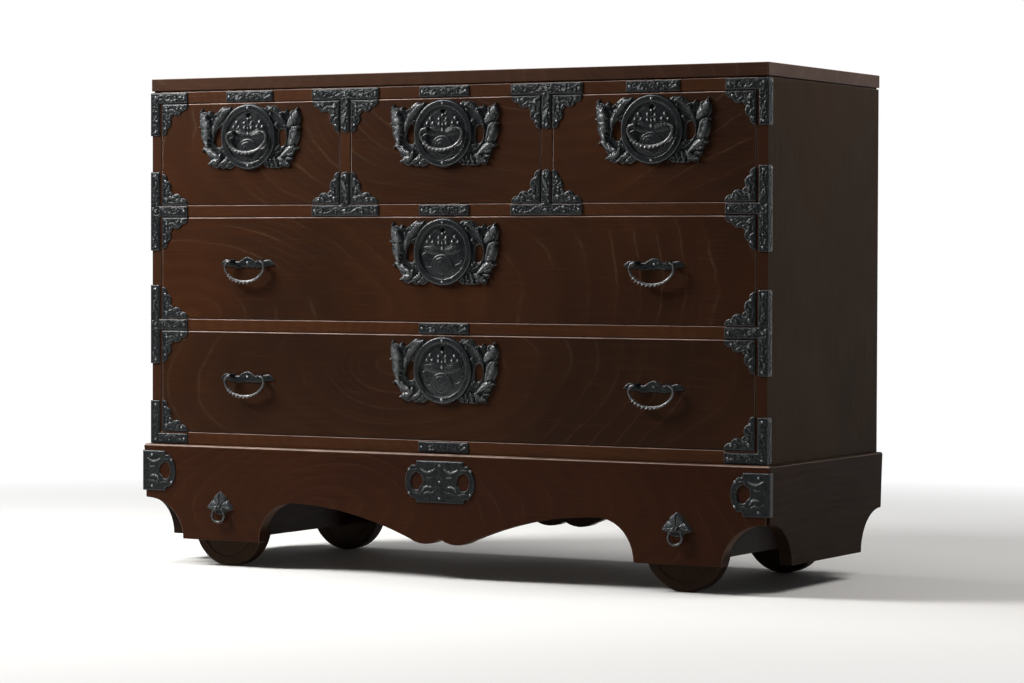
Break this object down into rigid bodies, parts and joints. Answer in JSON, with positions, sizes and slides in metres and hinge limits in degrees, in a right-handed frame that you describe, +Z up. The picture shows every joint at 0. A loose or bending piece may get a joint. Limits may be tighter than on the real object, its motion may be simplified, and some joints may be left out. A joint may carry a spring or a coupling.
{
  "type": "wheeled chest of drawers",
  "caption": "Low wheeled wooden chest of drawers with small drawers over wide ones, black embossed iron fittings, drop handles and a shaped base on wooden wheels.",
  "frame": {"origin": "on the floor, under the middle of the chest's outer box", "axes": "+X along the width to the viewer's right, +Y to the back, +Z up; the drawers open towards -Y"},
  "size_m": [1.226, 0.4764, 0.858],
  "materials": {
    "top_wood": "dark red-brown lacquer over open grain, satin",
    "side_wood": "dark brown lacquer over straight grain, satin",
    "rail_wood": "red-brown lacquer, satin",
    "front_wood": "dark red-brown lacquer over bold grain, satin",
    "base_wood": "dark red-brown lacquer, satin, worn at the edges",
    "wheel_wood": "dark brown lacquer, satin",
    "bare_wood": "plain unfinished softwood",
    "plate_iron": "blackened embossed iron, semi-matt with bright worn ridges",
    "escutcheon_iron": "blackened embossed iron, semi-matt with bright worn ridges",
    "handle_iron": "blackened forged iron, semi-matt",
    "axle_iron": "dark bare iron",
    "lock_steel": "plain steel",
    "bolt_brass": "plain brass"
  },
  "bodies": {
    "case": {"top_board": "top_wood", "left_side_panel": "side_wood", "right_side_panel": "side_wood", "back_panel": "bare_wood", "bottom_board": "bare_wood", "front_rails": "rail_wood", "dividers": "rail_wood", "shelf_boards": "bare_wood", "base_front_apron": "base_wood", "base_back_apron": "base_wood", "base_side_aprons": "base_wood", "base_blocks_and_bearers": "base_wood", "axles": "axle_iron", "axle_washers": "axle_iron", "axle_pins": "axle_iron", "case_irons": "plate_iron", "base_irons": "plate_iron"},
    "front_left_wheel": {"front_left_wheel": "wheel_wood"},
    "front_right_wheel": {"front_right_wheel": "wheel_wood"},
    "back_left_wheel": {"back_left_wheel": "wheel_wood"},
    "back_right_wheel": {"back_right_wheel": "wheel_wood"},
    "left_drop_ring": {"left_drop_ring": "handle_iron"},
    "right_drop_ring": {"right_drop_ring": "handle_iron"},
    "left_drawer": {"left_drawer_front": "front_wood", "left_drawer_box": "bare_wood", "left_drawer_irons": "plate_iron", "left_drawer_escutcheon": "escutcheon_iron", "left_drawer_lock_case": "lock_steel"},
    "left_drawer_bail": {"left_drawer_bail": "handle_iron"},
    "left_drawer_lock_bolt": {"left_drawer_lock_bolt": "bolt_brass"},
    "centre_drawer": {"centre_drawer_front": "front_wood", "centre_drawer_box": "bare_wood", "centre_drawer_irons": "plate_iron", "centre_drawer_escutcheon": "escutcheon_iron", "centre_drawer_lock_case": "lock_steel"},
    "centre_drawer_bail": {"centre_drawer_bail": "handle_iron"},
    "centre_drawer_lock_bolt": {"centre_drawer_lock_bolt": "bolt_brass"},
    "right_drawer": {"right_drawer_front": "front_wood", "right_drawer_box": "bare_wood", "right_drawer_irons": "plate_iron", "right_drawer_escutcheon": "escutcheon_iron", "right_drawer_lock_case": "lock_steel"},
    "right_drawer_bail": {"right_drawer_bail": "handle_iron"},
    "right_drawer_lock_bolt": {"right_drawer_lock_bolt": "bolt_brass"},
    "middle_drawer": {"middle_drawer_front": "front_wood", "middle_drawer_box": "bare_wood", "middle_drawer_irons": "plate_iron", "middle_drawer_escutcheon": "escutcheon_iron", "middle_drawer_lock_case": "lock_steel"},
    "middle_drawer_left_bail": {"middle_drawer_left_bail": "handle_iron"},
    "middle_drawer_right_bail": {"middle_drawer_right_bail": "handle_iron"},
    "middle_drawer_lock_bolt": {"middle_drawer_lock_bolt": "bolt_brass"},
    "bottom_drawer": {"bottom_drawer_front": "front_wood", "bottom_drawer_box": "bare_wood", "bottom_drawer_irons": "plate_iron", "bottom_drawer_escutcheon": "escutcheon_iron", "bottom_drawer_lock_case": "lock_steel"},
    "bottom_drawer_left_bail": {"bottom_drawer_left_bail": "handle_iron"},
    "bottom_drawer_right_bail": {"bottom_drawer_right_bail": "handle_iron"},
    "bottom_drawer_lock_bolt": {"bottom_drawer_lock_bolt": "bolt_brass"}
  },
  "joints": [
    {"name": "front_left_wheel_spin", "type": "hinge", "parent": "case", "child": "front_left_wheel", "pos_m": [-0.446, -0.1863, 0.072], "axis": [0, 1, 0], "continuous": true},
    {"name": "front_right_wheel_spin", "type": "hinge", "parent": "case", "child": "front_right_wheel", "pos_m": [0.446, -0.1863, 0.072], "axis": [0, 1, 0], "continuous": true},
    {"name": "back_left_wheel_spin", "type": "hinge", "parent": "case", "child": "back_left_wheel", "pos_m": [-0.446, 0.1982, 0.072], "axis": [0, 1, 0], "continuous": true},
    {"name": "back_right_wheel_spin", "type": "hinge", "parent": "case", "child": "back_right_wheel", "pos_m": [0.446, 0.1982, 0.072], "axis": [0, 1, 0], "continuous": true},
    {"name": "left_drop_ring_swing", "type": "hinge", "parent": "case", "child": "left_drop_ring", "pos_m": [-0.446, -0.2343, 0.104], "axis": [-1, 0, 0], "range_deg": [0, 90]},
    {"name": "right_drop_ring_swing", "type": "hinge", "parent": "case", "child": "right_drop_ring", "pos_m": [0.446, -0.2343, 0.104], "axis": [-1, 0, 0], "range_deg": [0, 90]},
    {"name": "left_drawer_slide", "type": "slide", "parent": "case", "child": "left_drawer", "axis": [0, -1, 0], "range_m": [0, 0.34]},
    {"name": "left_drawer_bail_swing", "type": "hinge", "parent": "left_drawer", "child": "left_drawer_bail", "pos_m": [-0.39333, -0.2258, 0.76075], "axis": [-1, 0, 0], "range_deg": [0, 95]},
    {"name": "left_drawer_lock_bolt_slide", "type": "slide", "parent": "left_drawer", "child": "left_drawer_lock_bolt", "axis": [0, 0, 1], "range_m": [0, 0.009]},
    {"name": "centre_drawer_slide", "type": "slide", "parent": "case", "child": "centre_drawer", "axis": [0, -1, 0], "range_m": [0, 0.34]},
    {"name": "centre_drawer_bail_swing", "type": "hinge", "parent": "centre_drawer", "child": "centre_drawer_bail", "pos_m": [0, -0.2258, 0.76075], "axis": [-1, 0, 0], "range_deg": [0, 95]},
    {"name": "centre_drawer_lock_bolt_slide", "type": "slide", "parent": "centre_drawer", "child": "centre_drawer_lock_bolt", "axis": [0, 0, 1], "range_m": [0, 0.009]},
    {"name": "right_drawer_slide", "type": "slide", "parent": "case", "child": "right_drawer", "axis": [0, -1, 0], "range_m": [0, 0.34]},
    {"name": "right_drawer_bail_swing", "type": "hinge", "parent": "right_drawer", "child": "right_drawer_bail", "pos_m": [0.39333, -0.2258, 0.76075], "axis": [-1, 0, 0], "range_deg": [0, 95]},
    {"name": "right_drawer_lock_bolt_slide", "type": "slide", "parent": "right_drawer", "child": "right_drawer_lock_bolt", "axis": [0, 0, 1], "range_m": [0, 0.009]},
    {"name": "middle_drawer_slide", "type": "slide", "parent": "case", "child": "middle_drawer", "axis": [0, -1, 0], "range_m": [0, 0.34]},
    {"name": "middle_drawer_left_bail_swing", "type": "hinge", "parent": "middle_drawer", "child": "middle_drawer_left_bail", "pos_m": [-0.397, -0.2258, 0.5355], "axis": [-1, 0, 0], "range_deg": [0, 95]},
    {"name": "middle_drawer_right_bail_swing", "type": "hinge", "parent": "middle_drawer", "child": "middle_drawer_right_bail", "pos_m": [0.397, -0.2258, 0.5355], "axis": [-1, 0, 0], "range_deg": [0, 95]},
    {"name": "middle_drawer_lock_bolt_slide", "type": "slide", "parent": "middle_drawer", "child": "middle_drawer_lock_bolt", "axis": [0, 0, 1], "range_m": [0, 0.009]},
    {"name": "bottom_drawer_slide", "type": "slide", "parent": "case", "child": "bottom_drawer", "axis": [0, -1, 0], "range_m": [0, 0.34]},
    {"name": "bottom_drawer_left_bail_swing", "type": "hinge", "parent": "bottom_drawer", "child": "bottom_drawer_left_bail", "pos_m": [-0.397, -0.2258, 0.3355], "axis": [-1, 0, 0], "range_deg": [0, 95]},
    {"name": "bottom_drawer_right_bail_swing", "type": "hinge", "parent": "bottom_drawer", "child": "bottom_drawer_right_bail", "pos_m": [0.397, -0.2258, 0.3355], "axis": [-1, 0, 0], "range_deg": [0, 95]},
    {"name": "bottom_drawer_lock_bolt_slide", "type": "slide", "parent": "bottom_drawer", "child": "bottom_drawer_lock_bolt", "axis": [0, 0, 1], "range_m": [0, 0.009]}
  ]
}
